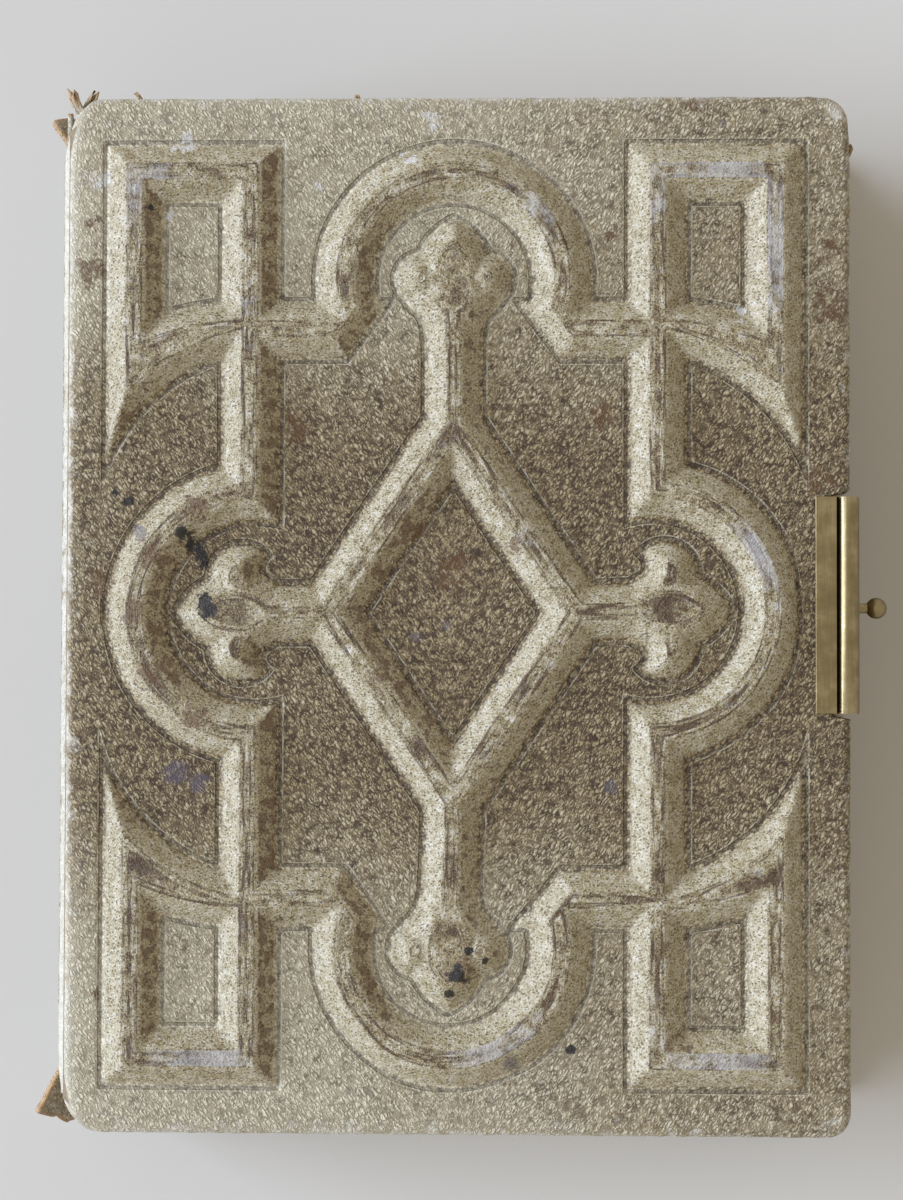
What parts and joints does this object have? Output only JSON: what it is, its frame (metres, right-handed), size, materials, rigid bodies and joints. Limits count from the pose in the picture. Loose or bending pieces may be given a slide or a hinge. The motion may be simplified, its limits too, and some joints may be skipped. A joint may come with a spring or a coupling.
{
  "type": "prayer book",
  "caption": "Closed prayer book with moulded leather strapwork covers, sewn gatherings that fan open, a torn leather spine and a hinged brass clasp.",
  "frame": {"origin": "middle of the footprint, on the surface that the back cover's relief rests on", "axes": "+X towards the fore-edge and clasp, +Y towards the head of the pages, +Z towards the front cover"},
  "size_m": [0.13, 0.156, 0.0423],
  "materials": {
    "leather": "grained tan goatskin, worn",
    "board": "raw millboard and pasteboard",
    "paper": "matt aged rag paper",
    "linen": "plain open weave",
    "silk": "wound silk thread",
    "brass": "aged, lightly polished"
  },
  "bodies": {
    "back_cover": {"back_leather": "leather", "back_board": "board", "back_fret": "board", "back_cross_fret": "board", "back_pastedown": "paper", "hinge_plate": "brass", "hinge_pin": "brass", "hinge_nails": "brass"},
    "text_block": {"spine_leather": "leather", "spine_card": "board", "spine_mull": "linen", "sewing_tapes": "linen", "head_band": "silk", "tail_band": "silk", "front_joint_leather": "leather", "back_joint_leather": "leather"},
    "front_cover": {"front_leather": "leather", "front_board": "board", "front_fret": "board", "front_cross_fret": "board", "front_pastedown": "paper", "catch_plate": "brass", "catch_pins": "brass"},
    "hasp": {"hasp": "brass", "thumb_knob": "brass"},
    "front_flyleaf": {"front_flyleaf": "paper"},
    "back_flyleaf": {"back_flyleaf": "paper"},
    "gathering_01": {"gathering_01": "paper"},
    "gathering_02": {"gathering_02": "paper"},
    "gathering_03": {"gathering_03": "paper"},
    "gathering_04": {"gathering_04": "paper"},
    "gathering_05": {"gathering_05": "paper"},
    "gathering_06": {"gathering_06": "paper"},
    "gathering_07": {"gathering_07": "paper"},
    "gathering_08": {"gathering_08": "paper"},
    "gathering_09": {"gathering_09": "paper"},
    "gathering_10": {"gathering_10": "paper"},
    "gathering_11": {"gathering_11": "paper"},
    "gathering_12": {"gathering_12": "paper"},
    "gathering_13": {"gathering_13": "paper"},
    "gathering_14": {"gathering_14": "paper"},
    "gathering_15": {"gathering_15": "paper"},
    "gathering_16": {"gathering_16": "paper"}
  },
  "joints": [
    {"name": "text_block_lift", "type": "hinge", "parent": "back_cover", "child": "text_block", "pos_m": [-0.06015, 0, 0.0067], "axis": [0, 1, 0], "range_deg": [-85, 0], "deforming": ["back_joint_leather"]},
    {"name": "front_cover_open", "type": "hinge", "parent": "text_block", "child": "front_cover", "pos_m": [-0.06015, 0, 0.0356], "axis": [0, -1, 0], "range_deg": [0, 180], "deforming": ["front_joint_leather"]},
    {"name": "clasp_swing", "type": "hinge", "parent": "back_cover", "child": "hasp", "pos_m": [0.06065, 0.00135, 0.0026], "axis": [0, 1, 0], "range_deg": [0, 85]},
    {"name": "gathering_01_turn", "type": "hinge", "parent": "text_block", "child": "gathering_01", "pos_m": [-0.057, 0, 0.03427], "axis": [0, -1, 0], "range_deg": [0, 27.5]},
    {"name": "gathering_02_turn", "type": "hinge", "parent": "text_block", "child": "gathering_02", "pos_m": [-0.057, 0, 0.03252], "axis": [0, -1, 0], "range_deg": [0, 22.5]},
    {"name": "gathering_03_turn", "type": "hinge", "parent": "text_block", "child": "gathering_03", "pos_m": [-0.057, 0, 0.03078], "axis": [0, -1, 0], "range_deg": [0, 18]},
    {"name": "gathering_04_turn", "type": "hinge", "parent": "text_block", "child": "gathering_04", "pos_m": [-0.057, 0, 0.02902], "axis": [0, -1, 0], "range_deg": [0, 14]},
    {"name": "gathering_05_turn", "type": "hinge", "parent": "text_block", "child": "gathering_05", "pos_m": [-0.057, 0, 0.02728], "axis": [0, -1, 0], "range_deg": [0, 10.5]},
    {"name": "gathering_06_turn", "type": "hinge", "parent": "text_block", "child": "gathering_06", "pos_m": [-0.057, 0, 0.02552], "axis": [0, -1, 0], "range_deg": [0, 7.5]},
    {"name": "gathering_07_turn", "type": "hinge", "parent": "text_block", "child": "gathering_07", "pos_m": [-0.057, 0, 0.02378], "axis": [0, -1, 0], "range_deg": [0, 5]},
    {"name": "gathering_08_turn", "type": "hinge", "parent": "text_block", "child": "gathering_08", "pos_m": [-0.057, 0, 0.02202], "axis": [0, -1, 0], "range_deg": [0, 3]},
    {"name": "gathering_09_turn", "type": "hinge", "parent": "text_block", "child": "gathering_09", "pos_m": [-0.057, 0, 0.02028], "axis": [0, 1, 0], "range_deg": [0, 3]},
    {"name": "gathering_10_turn", "type": "hinge", "parent": "text_block", "child": "gathering_10", "pos_m": [-0.057, 0, 0.01852], "axis": [0, 1, 0], "range_deg": [0, 5]},
    {"name": "gathering_11_turn", "type": "hinge", "parent": "text_block", "child": "gathering_11", "pos_m": [-0.057, 0, 0.01678], "axis": [0, 1, 0], "range_deg": [0, 7.5]},
    {"name": "gathering_12_turn", "type": "hinge", "parent": "text_block", "child": "gathering_12", "pos_m": [-0.057, 0, 0.01503], "axis": [0, 1, 0], "range_deg": [0, 10.5]},
    {"name": "gathering_13_turn", "type": "hinge", "parent": "text_block", "child": "gathering_13", "pos_m": [-0.057, 0, 0.01328], "axis": [0, 1, 0], "range_deg": [0, 14]},
    {"name": "gathering_14_turn", "type": "hinge", "parent": "text_block", "child": "gathering_14", "pos_m": [-0.057, 0, 0.01153], "axis": [0, 1, 0], "range_deg": [0, 18]},
    {"name": "gathering_15_turn", "type": "hinge", "parent": "text_block", "child": "gathering_15", "pos_m": [-0.057, 0, 0.00978], "axis": [0, 1, 0], "range_deg": [0, 22.5]},
    {"name": "gathering_16_turn", "type": "hinge", "parent": "text_block", "child": "gathering_16", "pos_m": [-0.057, 0, 0.00802], "axis": [0, 1, 0], "range_deg": [0, 27.5]},
    {"name": "front_flyleaf_turn", "type": "hinge", "parent": "text_block", "child": "front_flyleaf", "pos_m": [-0.057, 0, 0.03542], "axis": [0, -1, 0], "range_deg": [0, 162.5]},
    {"name": "back_flyleaf_turn", "type": "hinge", "parent": "text_block", "child": "back_flyleaf", "pos_m": [-0.057, 0, 0.00688], "axis": [0, 1, 0], "range_deg": [0, 51.5]}
  ],
  "couplings": [
    {"joint": "gathering_01_turn", "follows": "front_cover_open", "ratio": 0.15},
    {"joint": "gathering_02_turn", "follows": "front_cover_open", "ratio": 0.12222},
    {"joint": "gathering_03_turn", "follows": "front_cover_open", "ratio": 0.097222},
    {"joint": "gathering_04_turn", "follows": "front_cover_open", "ratio": 0.075},
    {"joint": "gathering_05_turn", "follows": "front_cover_open", "ratio": 0.055556},
    {"joint": "gathering_06_turn", "follows": "front_cover_open", "ratio": 0.038889},
    {"joint": "gathering_07_turn", "follows": "front_cover_open", "ratio": 0.025},
    {"joint": "gathering_08_turn", "follows": "front_cover_open", "ratio": 0.013889},
    {"joint": "gathering_09_turn", "follows": "text_block_lift", "ratio": -0.029412},
    {"joint": "gathering_10_turn", "follows": "text_block_lift", "ratio": -0.052941},
    {"joint": "gathering_11_turn", "follows": "text_block_lift", "ratio": -0.082353},
    {"joint": "gathering_12_turn", "follows": "text_block_lift", "ratio": -0.11765},
    {"joint": "gathering_13_turn", "follows": "text_block_lift", "ratio": -0.15882},
    {"joint": "gathering_14_turn", "follows": "text_block_lift", "ratio": -0.20588},
    {"joint": "gathering_15_turn", "follows": "text_block_lift", "ratio": -0.25882},
    {"joint": "gathering_16_turn", "follows": "text_block_lift", "ratio": -0.31765},
    {"joint": "front_flyleaf_turn", "follows": "front_cover_open", "ratio": 0.9},
    {"joint": "back_flyleaf_turn", "follows": "text_block_lift", "ratio": -0.6}
  ]
}
